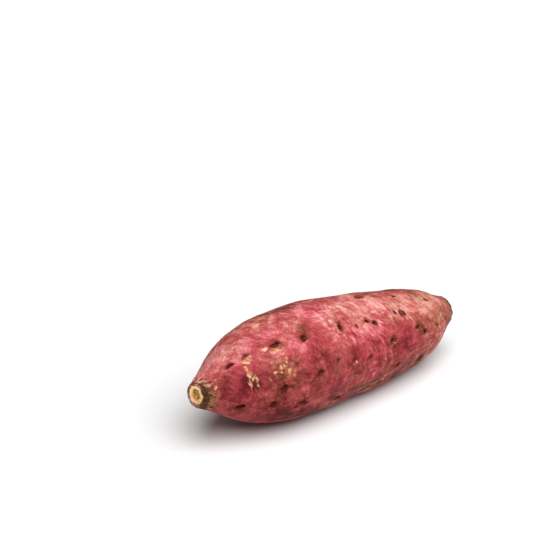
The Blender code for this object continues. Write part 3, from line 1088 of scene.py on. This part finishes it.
def skin_material(skin, ends):
    """Periderm, the thin corky skin of a root: grown, then washed and rubbed dry.

    To the eye it is dull, with hardly any gloss, and mottled from wine to blush down to its finest grain. It
    is paler on the ridges that rubbed, and tan or brown where cork shows through. Its tone also holds
    painted light: highlights on the creases, growth lines and eye lips, shade in the grooves, in the eyes'
    holes, round the eyes and on the underside, and a neighbouring root's shadow along the top. The cut is
    starchy flesh, matt and cream."""
    material = bpy.data.materials.new("Rose_periderm_skin")
    material.use_nodes = True
    tree = material.node_tree
    shader = tree.nodes["Principled BSDF"]
    in_metres = node(tree, "ShaderNodeTexCoord", output="Object")
    place = node(tree, "ShaderNodeVectorMath", {0: in_metres, 1: (1000, 1000, 1000)}, operation="MULTIPLY")
    lay = node(tree, "ShaderNodeAttribute", output="Vector", attribute_name="lay")
    values = {}
    for name in Skin.MASKS:
        values[name] = node(tree, "ShaderNodeAttribute", output="Fac", attribute_name=name)
    for name, size_mm, detail, roughness, stretch, follows_growth, curl in PATTERNS:
        along = {0: lay if follows_growth else place, 1: stretch}
        stretched = node(tree, "ShaderNodeVectorMath", along, operation="MULTIPLY")
        inputs = {"Vector": stretched, "Scale": 1 / size_mm, "Detail": detail, "Roughness": roughness}
        values[name] = node(tree, "ShaderNodeTexNoise", {**inputs, "Distortion": curl})

    def weighed(total, weights):
        """A first value with the named ones on top of it, each by its weight."""
        for name, weight in weights.items():
            inputs = {0: values[name], 1: weight, 2: total}
            total = node(tree, "ShaderNodeMath", inputs, operation="MULTIPLY_ADD")
        return total

    def over(base, *layers):
        """Colours laid over a base, each through the mask of that name."""
        for name, colour in layers:
            if not isinstance(colour, bpy.types.NodeSocket):
                colour = tuple(colour)
            inputs = {0: values[name], 6: base, 7: colour}
            base = node(tree, "ShaderNodeMix", inputs, output=2, data_type="RGBA")
        return base

    centred = node(tree, "ShaderNodeMath", {0: values["veins"], 1: 0.5}, operation="SUBTRACT")
    veins = {0: centred, 1: values["veined"]}
    values["along_veins"] = node(tree, "ShaderNodeMath", veins, operation="MULTIPLY")
    for name, weights, low, high, top in SOFT_MASKS:
        inputs = {"Value": weighed(0.0, weights), "From Min": low, "From Max": high, "To Max": top}
        values[name] = node(tree, "ShaderNodeMapRange", inputs, interpolation_type="SMOOTHSTEP")
    # The thin pale lines on the crests of the bowed noise are a painted highlight of the gloss along the
    # growth lines.
    crests = node(tree, "ShaderNodeMath", {0: values["rising"], 1: values["falling"]}, operation="MULTIPLY")
    values["highlight_lines"] = node(tree, "ShaderNodeMath", {0: crests, 1: values["highlight_lined"]}, operation="MULTIPLY")
    # Noise is a half on average, so half of each weight comes off the middle tone.
    tone = weighed(MIDDLE_TONE - 0.5 * sum(MOTTLING.values()), {**MOTTLING, **MARKINGS})
    ramps = (
        (tone, (skin.wine, skin.rose, skin.pink, skin.blush, skin.pale)),
        (tone, (skin.umber, skin.chestnut, skin.tan, skin.sand, skin.straw)),
        (values["scuff_shade"], (skin.tan, skin.scuff, skin.straw)),
    )
    shades = []
    for share, colours in ramps:
        shade = node(tree, "ShaderNodeValToRGB", {0: share})
        stops = shade.node.color_ramp.elements
        while len(stops) < len(colours):
            stops.new(0.5)
        for i, colour in enumerate(colours):
            stops[i].position = i / (len(colours) - 1)
            stops[i].color = colour
        shades.append(shade)
    red, brown, scuffed = shades
    tint = {0: 1.0, 6: red, 7: tuple(skin.rosy)}
    rosy_red = node(tree, "ShaderNodeMix", tint, output=2, data_type="RGBA", blend_type="MULTIPLY")
    flesh = over(tuple(ends.cream), ("dry", ends.dry), ("pith", ends.pith))
    colour = over(
        red,
        ("rosier", rosy_red),
        ("browner", brown),
        ("tan_flecks", brown),
        ("corky", skin.cork),
        ("scraped", scuffed),
        ("dark_slit", skin.slit),
        ("striped", ends.olive),
        ("scabby", ends.scab),
        ("bark_ring", ends.bark),
        ("flesh", flesh),
    )
    low, high = SKIN_ROUGHNESS
    relief = {"Strength": 1.0, "Distance": skin.grain_height, "Height": weighed(0.0, RELIEF)}
    rough = node(tree, "ShaderNodeMapRange", {"Value": values["flecks"], "To Min": low, "To Max": high})
    tree.links.new(colour, shader.inputs["Base Color"])
    tree.links.new(node(tree, "ShaderNodeBump", relief), shader.inputs["Normal"])
    tree.links.new(rough, shader.inputs["Roughness"])
    shader.inputs["IOR"].default_value = SKIN_IOR
    shader.inputs["Specular IOR Level"].default_value = SKIN_GLOSS
    return material


class POTATO_OT_root(bpy.types.Operator):
    """Grow the root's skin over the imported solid"""

    bl_idname = "potato.root"
    bl_label = "Grow the root"

    def execute(self, context):
        skin = context.scene.potato_skin
        points, faces, paint, lay = grow_skin(skin)
        made = make_mesh_object("root_skin", points, faces, skin_material(skin, context.scene.potato_ends))
        if len(made.data.vertices) != len(points):
            raise RuntimeError("the skin lost vertices")
        for name, values in paint.items():
            layer = made.data.attributes.new(name, "FLOAT", "POINT")
            layer.data.foreach_set("value", values.astype(np.float32))
        layer = made.data.attributes.new("lay", "FLOAT_VECTOR", "POINT")
        layer.data.foreach_set("vector", lay.astype(np.float32).ravel())
        face_outwards(made)
        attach(made, BODY)
        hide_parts(NODE)
        return {"FINISHED"}


PICTURE_SIDE = 533
# The picture point, in pixels from its left and top, where the aim point lies.
AIM_PIXEL = (326.95, 343.74)
SENSOR_WIDTH = 36.0
# From the root towards the middle of the softbox.
SOFTBOX_WAY = (-0.05, -0.48, 1.0)


def place_camera(stage):
    """Puts the camera where the aim point falls on AIM_PIXEL, looking along its azimuth and elevation."""
    data = bpy.data.cameras.new("camera")
    data.lens = stage.focal_length
    data.sensor_width = SENSOR_WIDTH
    data.clip_start = 0.01
    camera = bpy.data.objects.new("camera", data)
    bpy.context.scene.collection.objects.link(camera)
    bpy.context.scene.camera = camera
    turn, rise = stage.azimuth, stage.elevation
    back = Vector((math.sin(turn) * math.cos(rise), -math.cos(turn) * math.cos(rise), math.sin(rise)))
    right = Vector((math.cos(turn), math.sin(turn), 0))
    up = back.cross(right)
    pixel = SENSOR_WIDTH / PICTURE_SIDE / stage.focal_length * stage.distance
    across = (AIM_PIXEL[0] - PICTURE_SIDE / 2) * pixel
    down = (AIM_PIXEL[1] - PICTURE_SIDE / 2) * pixel
    aim = Vector((0, 0, stage.aim_height))
    camera.location = aim + back * stage.distance - right * across + up * down
    camera.rotation_mode = "QUATERNION"
    camera.rotation_quaternion = (-back).to_track_quat("-Z", "Y")


def hang_softbox(stage):
    """One big soft light from overhead, a little to the front, and a faint one from all round."""
    data = bpy.data.lights.new("softbox", "SUN")
    data.energy = stage.light_strength
    data.angle = stage.light_spread
    softbox = bpy.data.objects.new("softbox", data)
    softbox.rotation_mode = "QUATERNION"
    softbox.rotation_quaternion = (-Vector(SOFTBOX_WAY)).to_track_quat("-Z", "Y")
    bpy.context.scene.collection.objects.link(softbox)
    world = bpy.data.worlds.new("studio")
    world.use_nodes = True
    sky = world.node_tree.nodes["Background"]
    sky.inputs["Color"].default_value = (1, 1, 1, 1)
    sky.inputs["Strength"].default_value = stage.sky_strength
    bpy.context.scene.world = world


class POTATO_OT_stage(bpy.types.Operator):
    """Lay the pale floor and set the light and the camera"""

    bl_idname = "potato.stage"
    bl_label = "Set the stage"

    def execute(self, context):
        stage = context.scene.potato_stage
        half = stage.floor_size / 2
        # A sheet of matt white card. It gives the eye an even pale ground without gloss.
        material = bpy.data.materials.new("Matt_white_sheet")
        material.use_nodes = True
        shader = material.node_tree.nodes["Principled BSDF"]
        shader.inputs["Base Color"].default_value = stage.floor
        shader.inputs["Roughness"].default_value = 0.9
        corners = np.array([(-half, -half, 0), (half, -half, 0), (half, half, 0), (-half, half, 0)])
        make_mesh_object("floor", corners, [(0, 1, 2, 3)], material)
        hang_softbox(stage)
        context.scene.view_settings.view_transform = "Standard"
        place_camera(stage)
        return {"FINISHED"}


class POTATO_PT_panel(bpy.types.Panel):
    """The settings and the two steps, in the 3D view's sidebar"""

    bl_idname = "POTATO_PT_panel"
    bl_label = "Sweet potato"
    bl_space_type = "VIEW_3D"
    bl_region_type = "UI"
    bl_category = "Sweet potato"

    def draw(self, context):
        groups = (
            ("potato.root", (context.scene.potato_skin, context.scene.potato_ends)),
            ("potato.stage", (context.scene.potato_stage,)),
        )
        for operator, settings in groups:
            box = self.layout.box()
            for group in settings:
                for name in group.bl_rna.properties.keys():
                    if name not in ("rna_type", "name"):
                        box.prop(group, name)
            box.operator(operator)


CLASSES = (SkinSettings, EndSettings, StageSettings, POTATO_OT_root, POTATO_OT_stage, POTATO_PT_panel)


def register():
    for one in CLASSES:
        bpy.utils.register_class(one)
    bpy.types.Scene.potato_skin = PointerProperty(type=SkinSettings)
    bpy.types.Scene.potato_ends = PointerProperty(type=EndSettings)
    bpy.types.Scene.potato_stage = PointerProperty(type=StageSettings)


def unregister():
    del bpy.types.Scene.potato_stage
    del bpy.types.Scene.potato_ends
    del bpy.types.Scene.potato_skin
    for one in reversed(CLASSES):
        bpy.utils.unregister_class(one)


def main():
    register()
    bpy.ops.potato.root()
    bpy.ops.potato.stage()


if __name__ == "__main__":
    main()
